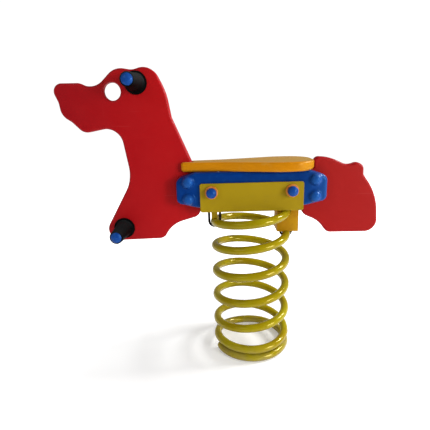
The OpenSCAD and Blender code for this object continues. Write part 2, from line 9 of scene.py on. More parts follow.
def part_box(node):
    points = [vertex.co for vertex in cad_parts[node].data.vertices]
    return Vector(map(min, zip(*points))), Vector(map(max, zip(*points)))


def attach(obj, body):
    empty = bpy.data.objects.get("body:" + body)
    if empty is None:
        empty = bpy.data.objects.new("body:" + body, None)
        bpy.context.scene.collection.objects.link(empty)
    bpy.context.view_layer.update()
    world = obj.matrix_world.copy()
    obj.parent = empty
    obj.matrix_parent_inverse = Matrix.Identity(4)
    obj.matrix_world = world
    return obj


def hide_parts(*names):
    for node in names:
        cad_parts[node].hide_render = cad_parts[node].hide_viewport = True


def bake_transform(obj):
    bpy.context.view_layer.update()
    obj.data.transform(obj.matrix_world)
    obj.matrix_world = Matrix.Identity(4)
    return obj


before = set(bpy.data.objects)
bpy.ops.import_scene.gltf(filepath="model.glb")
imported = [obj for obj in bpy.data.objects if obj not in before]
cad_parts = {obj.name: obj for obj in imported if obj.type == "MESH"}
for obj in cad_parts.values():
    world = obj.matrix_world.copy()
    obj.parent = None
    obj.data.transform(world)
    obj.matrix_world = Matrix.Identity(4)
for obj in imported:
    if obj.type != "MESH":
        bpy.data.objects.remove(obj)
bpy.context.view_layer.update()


# Spring: round steel wire wound hot into an open coil, blasted and powder coated in gloss yellow.
# Its first turn lies flat on the ground, and two clamps hold its last turns under the bracket. Its sizes
# are in metres and in turns.
WIRE_R = 0.010
COIL_R = 0.090
START = math.radians(200)
TURNS = 6.5
FOOT_TURNS, STEP_TURNS, END_GAP = 0.7, 0.35, 0.0025
OPEN_TURNS, OPEN_BLEND = 1.15, 0.3
TOP_TURNS, TOP_BLEND = 1.3, 0.4
TAIL_TURNS = 0.3
COIL_PITCH, TOP_PITCH, TAIL_PITCH = 0.0688, 0.060, 0.024
FOOT_CUT = 0.0005
WIRE_SIDES = 28
RINGS_PER_TURN = 84
END_ROUND = np.array([0.62, 0.86, 0.97])
END_SHIFT = np.array([0.0, -0.0085, -0.0102])
CREASE = 40


def ease(x):
    """Smooth step: 3k^2 - 2k^3 with k held between 0 and 1."""
    k = np.clip(x, 0, 1)
    return k * k * (3 - 2 * k)


def run_in(x, width):
    """Nothing below 0, a parabola over width, then a straight line of slope 1."""
    return np.where(x <= 0, 0, np.where(x < width, x * x / (2 * width), x - width / 2))


def wire_height(t):
    """Height of the wire after t turns: a flat foot, a step over its own end, open turns of the full pitch,
    a flatter turn under the bracket and a tail that is flatter still."""
    step = (2 * WIRE_R + END_GAP) * ease((t - FOOT_TURNS) / STEP_TURNS)
    full = COIL_PITCH * run_in(t - OPEN_TURNS, OPEN_BLEND)
    top = (COIL_PITCH - TOP_PITCH) * run_in(t - TURNS + TOP_TURNS, TOP_BLEND)
    tail = (TOP_PITCH - TAIL_PITCH) * run_in(t - TURNS + TAIL_TURNS, TAIL_TURNS)
    return WIRE_R - FOOT_CUT + step + full - top - tail


def grid_faces(rows, columns):
    """Quads of a grid whose last column joins the first. Its point (i, j) has the number i columns + j."""
    i, j = np.meshgrid(np.arange(rows - 1), np.arange(columns), indexing="ij")
    k = (j + 1) % columns
    quads = [i * columns + j, (i + 1) * columns + j, (i + 1) * columns + k, i * columns + k]
    return np.stack(quads, -1).reshape(-1, 4)


def tube(path, out, radius, sides):
    """Round skin along a path. A point is path + radius (cos a out + sin a up), with up square to both."""
    along = np.gradient(path, axis=0)
    up = np.cross(out, along)
    up /= np.linalg.norm(up, axis=1)[:, None]
    a = np.linspace(0, 2 * np.pi, sides, endpoint=False)[None, :, None]
    rings = path[:, None] + radius[:, None, None] * (np.cos(a) * out[:, None] + np.sin(a) * up[:, None])
    faces = grid_faces(len(path), sides).tolist()
    first = np.arange(sides)
    return rings, faces + [first.tolist(), (first[::-1] + (len(path) - 1) * sides).tolist()]


def mesh_object(name, points, faces, crease=CREASE):
    """Object of a mesh with smooth faces, sharp where they meet at more than crease degrees."""
    mesh = bpy.data.meshes.new(name)
    mesh.from_pydata(np.asarray(points).reshape(-1, 3).tolist(), [], faces)
    mesh.shade_smooth()
    mesh.set_sharp_from_angle(angle=math.radians(crease))
    made = bpy.data.objects.new(name, mesh)
    bpy.context.scene.collection.objects.link(made)
    return made


def point_values(made, name, values):
    """Puts one number or vector per point onto the mesh for its material to read."""
    kind = "FLOAT" if values.ndim == 1 else "FLOAT_VECTOR"
    layer = made.data.attributes.new(name, kind, "POINT")
    layer.data.foreach_set("value" if values.ndim == 1 else "vector", values.astype(np.float32).ravel())


def finish_of(name, sockets):
    """New material. The sockets' constants go straight onto its shader."""
    material = bpy.data.materials.new(name)
    material.use_nodes = True
    shader = material.node_tree.nodes["Principled BSDF"]
    for socket, value in sockets.items():
        shader.inputs[socket].default_value = value
    return material


def add(material, kind, sockets=None, joined=None, **settings):
    """New node of a material or of the sky: sockets get constants, joined brings other nodes' outputs."""
    made = material.node_tree.nodes.new("ShaderNode" + kind)
    for name, value in settings.items():
        setattr(made, name, value)
    for socket, value in (sockets or {}).items():
        made.inputs[socket].default_value = value
    for socket, output in (joined or {}).items():
        material.node_tree.links.new(output, made.inputs[socket])
    return made


def onto_shader(material, socket, output):
    """Leads another node's output to a socket of the material's shader."""
    shader = material.node_tree.nodes["Principled BSDF"]
    material.node_tree.links.new(output, shader.inputs[socket])


def stretched(material, where, stretch):
    """A place with each of its coordinates multiplied, for grain that runs one way."""
    return add(material, "Mapping", {"Scale": stretch}, {"Vector": where}).outputs["Vector"]


def place(material, stretch=(1, 1, 1)):
    """Object coordinates in metres, each multiplied by its stretch."""
    return stretched(material, add(material, "TexCoord").outputs["Object"], stretch)


def axis_of(material, where, axis):
    """One coordinate of a place: X, Y or Z."""
    return add(material, "SeparateXYZ", None, {0: where}).outputs[axis]


def read_value(material, name, output="Fac"):
    """The number, or with output Vector the vector, that point_values put onto the mesh."""
    return add(material, "Attribute", attribute_name=name).outputs[output]


def noise(material, where, scale, detail=2, roughness=0.5):
    """Cloudy noise with features of about 1 / scale metres."""
    sockets = {"Scale": scale, "Detail": detail, "Roughness": roughness}
    return add(material, "TexNoise", sockets, {"Vector": where}).outputs["Fac"]


def span(material, value, low, high, to_low=0.0, to_high=1.0):
    """Stretches the range low to high onto to_low to to_high and holds it there."""
    sockets = {"From Min": low, "From Max": high, "To Min": to_low, "To Max": to_high}
    return add(material, "MapRange", sockets, {"Value": value}).outputs["Result"]


def patches(material, where, scale, detail, low, high, to_low=0.0, to_high=1.0, roughness=0.5):
    """Patches of noise: its range low to high, stretched onto to_low to to_high."""
    return span(material, noise(material, where, scale, detail, roughness), low, high, to_low, to_high)


def combined(material, operation, a, b):
    """One value of two: their product, their difference or the larger one, as the operation says."""
    return add(material, "Math", None, {0: a, 1: b}, operation=operation).outputs[0]


def times(material, a, b):
    """Product of two values."""
    return combined(material, "MULTIPLY", a, b)


def blend_colours(material, share, under, over):
    """Colour over laid on colour under by share. Each is a colour or another node's output."""
    made = add(material, "Mix", None, {0: share}, data_type="RGBA")
    for socket, colour in ((6, under), (7, over)):
        if isinstance(colour, tuple):
            made.inputs[socket].default_value = (*colour, 1)
        else:
            material.node_tree.links.new(colour, made.inputs[socket])
    return made.outputs[2]


def relief(material, height, depth, strength, under=None):
    """Bump of the given depth in metres, laid over another bump if there is one."""
    joined = {"Height": height}
    if under is not None:
        joined["Normal"] = under
    made = add(material, "Bump", {"Strength": strength, "Distance": depth}, joined)
    return made.outputs["Normal"]


# The first and last rings are smaller and closer together, which rounds the wire's ends.
turn = np.linspace(0, TURNS, int(TURNS * RINGS_PER_TURN) + 1)
wire_radius = np.full(len(turn), WIRE_R)
wire_radius[:len(END_ROUND)] *= END_ROUND
wire_radius[-len(END_ROUND):] *= END_ROUND[::-1]
turn[:len(END_SHIFT)] += END_SHIFT
turn[-len(END_SHIFT):] -= END_SHIFT[::-1]
wire_angle = START + 2 * np.pi * turn
wire_out = np.stack([np.cos(wire_angle), np.sin(wire_angle), 0 * turn], 1)
wire_path = np.column_stack([COIL_R * wire_out[:, :2], wire_height(turn)])
rings, faces = tube(wire_path, wire_out, wire_radius, WIRE_SIDES)
rings[..., 2] = np.maximum(rings[..., 2], 0)

# The paint is laid out along the wire and across its section, so that it bends with the wire.
round_wire = np.linspace(0, 2 * np.pi, WIRE_SIDES, endpoint=False)
wire_length = 2 * np.pi * COIL_R * turn[:, None]
on_wire = np.broadcast_arrays(wire_length, WIRE_R * np.cos(round_wire), WIRE_R * np.sin(round_wire))

spring = mesh_object("coil_spring", rings, faces)
point_values(spring, "on_wire", np.stack(on_wire, -1).reshape(-1, 3))

YELLOW, LIGHT_YELLOW = (0.280, 0.197, 0.002), (0.348, 0.290, 0.004)
OCHRE_STREAK, UNDERSIDE_SHADE = (0.20, 0.135, 0.006), (0.105, 0.072, 0.002)
GROUND_DUST, BARE_STEEL = (0.30, 0.25, 0.13), (0.09, 0.06, 0.035)

spring_paint = finish_of("spring_paint", {"Specular IOR Level": 0.55, "Specular Tint": (1.0, 0.85, 0.3, 1)})
wire = read_value(spring_paint, "on_wire", "Vector")
cloud = patches(spring_paint, wire, 14, 4, 0.3, 0.7)
paint = blend_colours(spring_paint, cloud, YELLOW, LIGHT_YELLOW)
streak = patches(spring_paint, wire, 70, 5, 0.58, 0.74, 0, 0.45, roughness=0.6)
paint = blend_colours(spring_paint, streak, paint, OCHRE_STREAK)
# Painted shade: the underside of the wire's section is darkened.
shade_and_grime = span(spring_paint, axis_of(spring_paint, wire, "Z"), 0.003, -0.010, 0, 0.42)
paint = blend_colours(spring_paint, shade_and_grime, paint, UNDERSIDE_SHADE)
near_ground = span(spring_paint, axis_of(spring_paint, place(spring_paint), "Z"), 0, 0.045, 0.55, 0)
dust = times(spring_paint, near_ground, patches(spring_paint, wire, 40, 4, 0.35, 0.65))
paint = blend_colours(spring_paint, dust, paint, GROUND_DUST)
chip = patches(spring_paint, wire, 210, 3, 0.735, 0.75, roughness=0.55)
onto_shader(spring_paint, "Base Color", blend_colours(spring_paint, chip, paint, BARE_STEEL))
onto_shader(spring_paint, "Roughness", patches(spring_paint, wire, 55, 3, 0.3, 0.75, 0.08, 0.20))
lengthwise = stretched(spring_paint, wire, (0.2, 1, 1))
peel = relief(spring_paint, noise(spring_paint, lengthwise, 330), 0.0006, 0.26)
onto_shader(spring_paint, "Normal", relief(spring_paint, chip, -0.0002, 0.6, peel))
spring.data.materials.append(spring_paint)
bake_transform(spring)
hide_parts("spring")


# Bracket: two plates of 6 mm steel welded to a web, powder coated in a dull mustard yellow.
# It holds the spring clamps under its web and the shells between its plates. Its sizes and those of the
# other pieces that it carries are in mm, and MM turns them into metres.
MM = 0.001
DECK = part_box("left_shell")[0].z
PLATE_T, PLATE_EDGE, PLATE_CORNER = 6, 1.0, 5
WEB_EDGE, WEB_CORNER = 0.6, 0.8
EDGE_STEPS = 7
HEM = 1.2
WORN_DEPTH = 0.6


def turned(points, angle):
    """Flat points turned about the origin: x cos a - y sin a and x sin a + y cos a."""
    c, s = math.cos(angle), math.sin(angle)
    return points @ np.array([[c, s], [-s, c]])


def rounded(corners, arc_step=4):
    """Outline of corners [x, y, radius], counter-clockwise, with an arc at every corner. The arc's middle
    lies on the bisector at radius / sin(half), and the arc starts on the leg at radius / tan(half)."""
    found = []
    spot = np.array(corners, float)
    for before, here, after in zip(np.roll(spot, 1, 0), spot, np.roll(spot, -1, 0)):
        u = (before - here)[:2] / np.linalg.norm((before - here)[:2])
        v = (after - here)[:2] / np.linalg.norm((after - here)[:2])
        half = math.acos(np.clip(u @ v, -1, 1)) / 2
        middle = here[:2] + (u + v) / np.linalg.norm(u + v) * here[2] / math.sin(half)
        arm = here[:2] + u * here[2] / math.tan(half) - middle
        sweep = (math.pi - 2 * half) * (1 if u[0] * v[1] - u[1] * v[0] < 0 else -1)
        count = max(2, math.ceil(abs(math.degrees(sweep)) / arc_step))
        found += [middle + turned(arm, sweep * k / count) for k in range(count + 1)]
    return np.array(found)


def rounded_box(low, high, radius):
    """Rectangle from its corner low to its corner high, with every corner rounded."""
    (x0, y0), (x1, y1) = low, high
    return rounded([[x0, y0, radius], [x1, y0, radius], [x1, y1, radius], [x0, y1, radius]])


def drawn_in(outline, depth):
    """Each point of a counter-clockwise outline moved inwards, square to the mean run of its two edges."""
    before = outline - np.roll(outline, 1, 0)
    after = np.roll(outline, -1, 0) - outline
    run = before / np.linalg.norm(before, axis=1)[:, None] + after / np.linalg.norm(after, axis=1)[:, None]
    run /= np.linalg.norm(run, axis=1)[:, None]
    return outline + depth * np.stack([-run[:, 1], run[:, 0]], 1)


def edge_levels(low, high, radius, upper=None):
    """Levels [height, draw-in] of a slab: quarter circles at both edges and a narrow flat hem inside each."""
    k = np.linspace(0, np.pi / 2, EDGE_STEPS)
    upper = upper or radius
    down = np.stack([low + radius - radius * np.cos(k), radius - radius * np.sin(k)], 1)
    up = np.stack([high - upper + upper * np.sin(k), upper - upper * np.cos(k)], 1)
    return np.vstack([[[low, radius + HEM]], down, up, [[high, upper + HEM]]])


def filled(loops):
    """Triangles, counter-clockwise, that fill the first loop and leave the others open."""
    flat = [[Vector((*p, 0)) for p in loop.tolist()] for loop in loops]
    three = np.array(tessellate_polygon(flat))
    a, b, c = np.vstack(loops)[three].transpose(1, 0, 2)
    inside_out = np.cross(b - a, c - a) < 0
    three[inside_out] = three[inside_out][:, ::-1]
    return three


def slab(outline, levels, holes=()):
    """Skin of stacked copies of an outline and of its holes, closed at the first and last level.
    A level is [height, draw-in]. Holes run clockwise, so that a draw-in widens them. The last result is the
    wear: 1 on sides and edges, and 0 on the flats, whose draw-in is more than WORN_DEPTH of the largest."""
    loops = [outline, *holes]
    sizes = [len(loop) for loop in loops]
    starts = np.cumsum([0] + [len(levels) * n for n in sizes[:-1]])
    copies = [
        np.column_stack([drawn_in(loop, depth), np.full(len(loop), height)])
        for loop in loops for height, depth in levels]
    walls = [grid_faces(len(levels), n)[:, ::-1] + start for start, n in zip(starts, sizes)]
    first = np.concatenate([start + np.arange(n) for start, n in zip(starts, sizes)])
    last = np.concatenate([start + (len(levels) - 1) * n + np.arange(n) for start, n in zip(starts, sizes)])
    under = filled([drawn_in(loop, levels[0, 1]) for loop in loops])
    over = filled([drawn_in(loop, levels[-1, 1]) for loop in loops])
    faces = np.vstack(walls).tolist() + first[under][:, ::-1].tolist() + last[over].tolist()
    rubbed = levels[:, 1] < WORN_DEPTH * levels[:, 1].max()
    worn = np.concatenate([np.repeat(rubbed, n) for n in sizes]).astype(float)
    return np.vstack(copies), faces, worn


def standing(points, y=0.0):
    """Points of a slab in metres, stood up so that its height runs to the camera: (x, y - height, z)."""
    return np.column_stack([points[:, 0], y - points[:, 2], points[:, 1]]) * MM + [0, 0, DECK]


low, high = np.array(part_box("spring_bracket")) / MM
web_top = DECK / MM
plate = rounded_box(low[[0, 2]] - [0, web_top], high[[0, 2]] - [0, web_top], PLATE_CORNER)
plate_points, plate_faces, plate_worn = slab(plate, edge_levels(0, PLATE_T, PLATE_EDGE))
web = rounded_box(low[:2] + [0, PLATE_T], high[:2] - [0, PLATE_T], WEB_CORNER)
web_points, web_faces, web_worn = slab(web, edge_levels(web_top - PLATE_T, web_top, WEB_EDGE))
parts = [standing(plate_points, -high[1] + PLATE_T), standing(plate_points, high[1]), web_points * MM]
part_faces = [plate_faces, plate_faces, web_faces]
bases = np.cumsum([0] + [len(points) for points in parts[:-1]])
welded = [[i + base for i in face] for group, base in zip(part_faces, bases) for face in group]
bracket = mesh_object("bracket", np.vstack(parts), welded)
point_values(bracket, "worn", np.concatenate([plate_worn, plate_worn, web_worn]))

MUSTARD, LIGHT_MUSTARD = (0.312, 0.207, 0.002), (0.360, 0.242, 0.003)
SMEAR, RUBBED_EDGE = (0.27, 0.185, 0.02), (0.20, 0.15, 0.06)

bracket_paint = finish_of("bracket_paint", {"Specular IOR Level": 0.11})
spot = place(bracket_paint)
cloud = patches(bracket_paint, spot, 11, 4, 0.3, 0.7)
paint = blend_colours(bracket_paint, cloud, MUSTARD, LIGHT_MUSTARD)
smear = patches(bracket_paint, place(bracket_paint, (20, 20, 90)), 1, 4, 0.55, 0.8, 0, 0.35)
paint = blend_colours(bracket_paint, smear, paint, SMEAR)
ragged = patches(bracket_paint, spot, 130, 4, 0.52, 0.66, roughness=0.6)
rub = times(bracket_paint, read_value(bracket_paint, "worn"), ragged)
rub = times(bracket_paint, rub, span(bracket_paint, cloud, 0, 1, 0.2, 0.7))
onto_shader(bracket_paint, "Base Color", blend_colours(bracket_paint, rub, paint, RUBBED_EDGE))
onto_shader(bracket_paint, "Roughness", patches(bracket_paint, spot, 60, 3, 0.3, 0.7, 0.42, 0.58))
onto_shader(bracket_paint, "Normal", relief(bracket_paint, noise(bracket_paint, spot, 620), 0.0005, 0.22))
bracket.data.materials.append(bracket_paint)
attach(bracket, "rider")
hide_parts("spring_bracket")


# Clamp block: a block of orange plastic between the last two turns at the rear, grooved for the wire.
# The rear U-bolt passes through it and pulls the lower turn up against it.
BLOCK_BREAK = 1.2
LOOSE_GAP = 0.01
FLAT_LIMIT = 1
BREAK_STEPS = 3


def softened(node, name, width):
    """Copy of a solid with its loose triangles merged, its flats made whole and its edges broken by width."""
    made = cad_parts[node].copy()
    made.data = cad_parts[node].data.copy()
    made.name = name
    made.parent = None
    for key in list(made.keys()):
        del made[key]
    bpy.context.scene.collection.objects.link(made)
    weld = made.modifiers.new("weld", "WELD")
    weld.merge_threshold = LOOSE_GAP * MM
    flats = made.modifiers.new("flats", "DECIMATE")
    flats.decimate_type = "DISSOLVE"
    flats.angle_limit = math.radians(FLAT_LIMIT)
    edges = made.modifiers.new("edges", "BEVEL")
    edges.width = width * MM
    edges.segments = BREAK_STEPS
    edges.limit_method = "ANGLE"
    edges.angle_limit = math.radians(CREASE)
    shape = bpy.data.meshes.new_from_object(made.evaluated_get(bpy.context.evaluated_depsgraph_get()))
    made.modifiers.clear()
    made.data = shape
    shape.materials.clear()
    shape.shade_smooth()
    shape.set_sharp_from_angle(angle=math.radians(CREASE))
    return made


block = softened("clamp_block", "clamp_block_orange", BLOCK_BREAK)

BLOCK_ORANGE, BLOCK_LIGHT, BLOCK_GRIME = (0.37, 0.165, 0.0015), (0.46, 0.235, 0.0025), (0.24, 0.11, 0.008)

block_plastic = finish_of("orange_block", {"Specular IOR Level": 0.09})
spot = place(block_plastic)
cloud = patches(block_plastic, spot, 30, 4, 0.3, 0.7)
dye = blend_colours(block_plastic, cloud, BLOCK_ORANGE, BLOCK_LIGHT)
shade_and_grime = patches(block_plastic, spot, 95, 5, 0.55, 0.72, 0, 0.4, roughness=0.6)
onto_shader(block_plastic, "Base Color", blend_colours(block_plastic, shade_and_grime, dye, BLOCK_GRIME))
onto_shader(block_plastic, "Roughness", patches(block_plastic, spot, 70, 2, 0.3, 0.7, 0.38, 0.55))
onto_shader(block_plastic, "Normal", relief(block_plastic, noise(block_plastic, spot, 500), 0.0004, 0.2))
block.data.materials.append(block_plastic)
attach(block, "rider")
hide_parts("clamp_block")


# Wire saddle and U-bolts: they hang the wire under the web. The saddle is a small steel block in the
# bracket's paint that keeps the front turn off the web. The U-bolts are bent from dark coated rod.
SADDLE_BREAK = 1
ROD_R = 3
ROD_END = 0.8
ROD_SIDES = 24
BEND_STEPS, LEG_STEPS = 40, 11
COAT, COAT_BLOOM = (0.009, 0.006, 0.005), (0.030, 0.017, 0.011)

dark_steel = finish_of("dark_steel", {"Specular IOR Level": 0.06})
spot = place(dark_steel)
bloom = patches(dark_steel, spot, 85, 5, 0.5, 0.72, roughness=0.6)
onto_shader(dark_steel, "Base Color", blend_colours(dark_steel, bloom, COAT, COAT_BLOOM))
onto_shader(dark_steel, "Roughness", span(dark_steel, bloom, 0, 1, 0.48, 0.72))
onto_shader(dark_steel, "Normal", relief(dark_steel, noise(dark_steel, spot, 420, 3), 0.0005, 0.3))

saddle = softened("wire_saddle", "wire_saddle_block", SADDLE_BREAK)
saddle.data.materials.append(bracket_paint)
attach(saddle, "rider")
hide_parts("wire_saddle")

for node in ("front_u_bolt", "rear_u_bolt"):
    low, high = np.array(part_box(node)) / MM
    middle = (low[0] + high[0]) / 2
    bend = (high[0] - low[0]) / 2 - ROD_R
    bend_z = low[2] + ROD_R + bend
    k = np.linspace(np.pi, 2 * np.pi, BEND_STEPS)
    bow = np.stack([middle + bend * np.cos(k), 0 * k, bend_z + bend * np.sin(k)], 1)
    leg = np.linspace(high[2], bend_z, LEG_STEPS + 1)[:-1]
    left = np.stack([0 * leg + middle - bend, 0 * leg, leg], 1)
    right = left[::-1] * [0, 1, 1] + [middle + bend, 0, 0]
    rod_path = np.vstack([left, bow, right])
    rod_radius = np.full(len(rod_path), float(ROD_R))
    rod_radius[[0, -1]] *= ROD_END
    rod_out = np.tile([0.0, 1.0, 0.0], (len(rod_path), 1))
    rings, faces = tube(rod_path, rod_out, rod_radius, ROD_SIDES)
    u_bolt = mesh_object(node + "_rod", rings * MM, faces)
    u_bolt.data.materials.append(dark_steel)
    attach(u_bolt, "rider")
    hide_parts(node)


# Panels: the dog's head, neck and rump, routed from 20 mm red plastic board with rounded edges. Each has a
# tongue that is bolted between the two shells, and the eye is a plain hole. The head is painted darker
# towards the muzzle, a painted shade, the rump is duller, and the milled edges are darker than the faces.
BOARD_T, BOARD_EDGE = 20, 5
EYE_X, EYE_Z, EYE_R, EYE_SIDES = -317, 273, 20, 72
NECK_X, NECK_ROOT = -140.5, 3
TONGUE_X, TONGUE_LOW, TONGUE_HIGH, TONGUE_R = 60, 13.4, 84, 8
BELLY_X = 124

front_corners = [
    [-461, 295, 19], [-444, 252, 34], [-441, 222, 33], [-419, 208, 33], [-393, 181, 25], [-308, 196, 39],
    [-290, 68, 90], [-383, -89, 29], [-219, -85, 21], [-198, -48, 72], [-BELLY_X, -27, 22],
    [-BELLY_X, TONGUE_LOW, TONGUE_R], [-TONGUE_X, TONGUE_LOW, TONGUE_R], [-TONGUE_X, TONGUE_HIGH, TONGUE_R],
    [NECK_X, TONGUE_HIGH, NECK_ROOT], [NECK_X, 107, 25], [-184, 212, 21], [-193, 269, 148], [-224, 332, 37],
    [-266, 318, 40], [-306, 326, 42], [-359, 277, 42], [-391, 294, 19]]
rear_corners = [
    [153, 112, 12], [151, TONGUE_HIGH, NECK_ROOT], [TONGUE_X, TONGUE_HIGH, TONGUE_R],
    [TONGUE_X, TONGUE_LOW, TONGUE_R], [BELLY_X, TONGUE_LOW, TONGUE_R], [BELLY_X + 4, -30, 22],
    [168, -47, 73], [192, -79, 17], [317, -80, 29], [309, 17, 150], [273, 65, 8], [272, 102, 18],
    [234, 88, 30], [191, 109, 103]]

k = np.linspace(0, 2 * np.pi, EYE_SIDES, endpoint=False)
eye = np.stack([EYE_X + EYE_R * np.cos(k), EYE_Z - EYE_R * np.sin(k)], 1)
board_levels = edge_levels(-BOARD_T / 2, BOARD_T / 2, BOARD_EDGE)

RED, LIGHT_RED = (0.39, 0.0022, 0.0050), (0.45, 0.0037, 0.0050)
SHADED_MUZZLE_RED, RUMP_RED = (0.29, 0.0015, 0.0050), (0.325, 0.0045, 0.0030)
FADED_RED, SCRATCH_RED, MILLED_RED = (0.45, 0.012, 0.012), (0.50, 0.06, 0.055), (0.33, 0.006, 0.010)

red_board = finish_of("red_board", {"Specular IOR Level": 0.13})
spot = place(red_board)
cloud = patches(red_board, spot, 5, 4, 0.3, 0.7, roughness=0.55)
dye = blend_colours(red_board, cloud, RED, LIGHT_RED)
along = axis_of(red_board, spot, "X")
# Painted shade: the red darkens from the neck towards the muzzle.
dye = blend_colours(red_board, span(red_board, along, -0.22, -0.44, 0, 0.9), dye, SHADED_MUZZLE_RED)
dye = blend_colours(red_board, span(red_board, along, 0.08, 0.12, 0, 0.9), dye, RUMP_RED)
fade = patches(red_board, spot, 42, 5, 0.5, 0.8, 0, 0.2, roughness=0.6)
dye = blend_colours(red_board, fade, dye, FADED_RED)
level_scratch = patches(red_board, place(red_board, (9, 30, 260)), 1, 2, 0.72, 0.78, 0, 0.5)
upright_scratch = patches(red_board, place(red_board, (230, 30, 12)), 1, 2, 0.73, 0.79, 0, 0.4)
scratch = combined(red_board, "MAXIMUM", level_scratch, upright_scratch)
dye = blend_colours(red_board, times(red_board, scratch, cloud), dye, SCRATCH_RED)
milled = read_value(red_board, "worn")
dye = blend_colours(red_board, span(red_board, milled, 0, 1, 0, 0.6), dye, MILLED_RED)
onto_shader(red_board, "Base Color", dye)
satin = patches(red_board, spot, 24, 3, 0.3, 0.7, 0.40, 0.54)
satin = combined(red_board, "SUBTRACT", satin, span(red_board, milled, 0, 1, 0, 0.12))
onto_shader(red_board, "Roughness", satin)
grain = relief(red_board, noise(red_board, spot, 680), 0.0004, 0.16)
onto_shader(red_board, "Normal", relief(red_board, scratch, -0.00015, 0.5, grain))

for node, corners, holes in (("front_panel", front_corners, [eye]), ("rear_panel", rear_corners, [])):
    points, faces, worn = slab(rounded(corners), board_levels, holes)
    panel = mesh_object(node + "_board", standing(points), faces)
    point_values(panel, "worn", worn)
    panel.data.materials.append(red_board)
    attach(panel, "rider")
    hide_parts(node)


# Shells: two mouldings of blue plastic that grip the panels' tongues between them inside the bracket.
# They are hollow towards the panels, and the seat is screwed down on their upper edges. Their rear ends
# are painted lighter, a painted light from the right.
SHELL_HALF, SHELL_H = 178.5, 84.5
SHELL_TOP, SHELL_FOOT = 134, 128.5
SHOULDER, TOE = 14.5, 12
SHELL_EDGE, SHELL_WALL = 8, 5
SHELL_INNER, SHELL_OUTER = 10, 42
SHELL_LIP = 0.4
HOLLOW_HEM = 1

half_shell = [
    [SHELL_FOOT, 0, 20], [SHELL_HALF, TOE, 14],
    [SHELL_HALF, SHELL_H - SHOULDER, 18], [SHELL_TOP, SHELL_H, 14]]
shell_corners = [[-x, z, r] for x, z, r in reversed(half_shell)] + half_shell
outer_edge = edge_levels(SHELL_INNER, SHELL_OUTER, SHELL_EDGE)[EDGE_STEPS + 1:]
floor_of_hollow = SHELL_OUTER - SHELL_WALL
shell_levels = np.vstack([
    [[floor_of_hollow, SHELL_WALL + HOLLOW_HEM], [floor_of_hollow, SHELL_WALL], [SHELL_INNER, SHELL_WALL],
     [SHELL_INNER, SHELL_LIP], [SHELL_INNER + SHELL_LIP, 0]], outer_edge])

BLUE, LIGHT_BLUE = (0.0006, 0.022, 0.155), (0.0010, 0.036, 0.222)
LIT_REAR_BLUE, LIT_DOME_BLUE = (0.020, 0.080, 0.280), (0.0120, 0.080, 0.320)
HAZE_BLUE, SCUFF_BLUE = (0.010, 0.085, 0.30), (0.06, 0.14, 0.36)

blue_shell = finish_of("blue_shell", {"Specular IOR Level": 0.3, "Specular Tint": (0.2, 0.6, 1.0, 1)})
spot = place(blue_shell)
cloud = patches(blue_shell, spot, 16, 4, 0.3, 0.7)
dye = blend_colours(blue_shell, cloud, BLUE, LIGHT_BLUE)
# Painted light: the blue lightens towards the rear end, as if lit from the right.
rear_light_and_shade = span(blue_shell, axis_of(blue_shell, spot, "X"), 0.12, 0.175, 0, 0.5)
dye = blend_colours(blue_shell, rear_light_and_shade, dye, LIT_REAR_BLUE)
# Painted light: the domes are lightened towards their crowns by the cover share.
dye = blend_colours(blue_shell, read_value(blue_shell, "cover"), dye, LIT_DOME_BLUE)
haze = patches(blue_shell, spot, 90, 5, 0.52, 0.8, 0, 0.3, roughness=0.6)
dye = blend_colours(blue_shell, haze, dye, HAZE_BLUE)
scuff = patches(blue_shell, place(blue_shell, (12, 40, 240)), 1, 2, 0.72, 0.78, 0, 0.5)
onto_shader(blue_shell, "Base Color", blend_colours(blue_shell, scuff, dye, SCUFF_BLUE))
onto_shader(blue_shell, "Roughness", patches(blue_shell, spot, 48, 3, 0.3, 0.7, 0.28, 0.40))
skin = relief(blue_shell, noise(blue_shell, spot, 560), 0.0004, 0.14)
onto_shader(blue_shell, "Normal", relief(blue_shell, scuff, -0.00012, 0.4, skin))

points, faces = slab(rounded(shell_corners), shell_levels)[:2]
for node, side in (("left_shell", 1), ("right_shell", -1)):
    shell = mesh_object(node + "_moulding", standing(points) * [1, side, 1], faces)
    if side < 0:
        shell.data.flip_normals()
    shell.data.materials.append(blue_shell)
    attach(shell, "rider")
    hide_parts(node)


# Seat: a drop-shaped board of orange plastic with a well rounded edge, slotted at its nose for the neck.
# Four screws come up into it through the upper walls of the shells. Its top is painted pale, a painted
# reflection of the sky, its edge is polished, and its rear end is painted darker, a painted shade.
SEAT_T, SEAT_EDGE, SEAT_RIM = 22.5, 7, 4.9
SEAT_FRONT, SEAT_BACK = -166, 150
SLOT_HALF, SLOT_END, SLOT_CORNER = 11, NECK_X + NECK_ROOT, 2
CUT_AHEAD, CUT_OVER = 20, 5

half_seat = [[SEAT_FRONT, -24, 9], [-63.9, -34, 152.9], [66.3, -70, 112.2], [SEAT_BACK, -63, 55.9]]
seat_corners = half_seat + [[x, -y, r] for x, y, r in reversed(half_seat)]
seat_under = SHELL_H + DECK / MM
seat_top = seat_under + SEAT_T
points, faces, worn = slab(rounded(seat_corners), edge_levels(seat_under, seat_top, SEAT_EDGE, SEAT_RIM))
seat = mesh_object("seat_board", points * MM, faces)
point_values(seat, "worn", worn)

# The slot is cut with a block that stands out ahead of the seat, above it and below it.
slot = rounded_box((SEAT_FRONT - CUT_AHEAD, -SLOT_HALF), (SLOT_END, SLOT_HALF), SLOT_CORNER)
points, faces = slab(slot, np.array([[seat_under - CUT_OVER, 0], [seat_top + CUT_OVER, 0]]))[:2]
cutter = mesh_object("slot_cutter", points * MM, faces)
cut = seat.modifiers.new("slot", "BOOLEAN")
cut.operation = "DIFFERENCE"
cut.solver = "EXACT"
cut.object = cutter
seat_mesh = bpy.data.meshes.new_from_object(seat.evaluated_get(bpy.context.evaluated_depsgraph_get()))
seat.modifiers.clear()
seat.data = seat_mesh
seat_mesh.shade_smooth()
seat_mesh.set_sharp_from_angle(angle=math.radians(CREASE))
bpy.data.objects.remove(cutter)

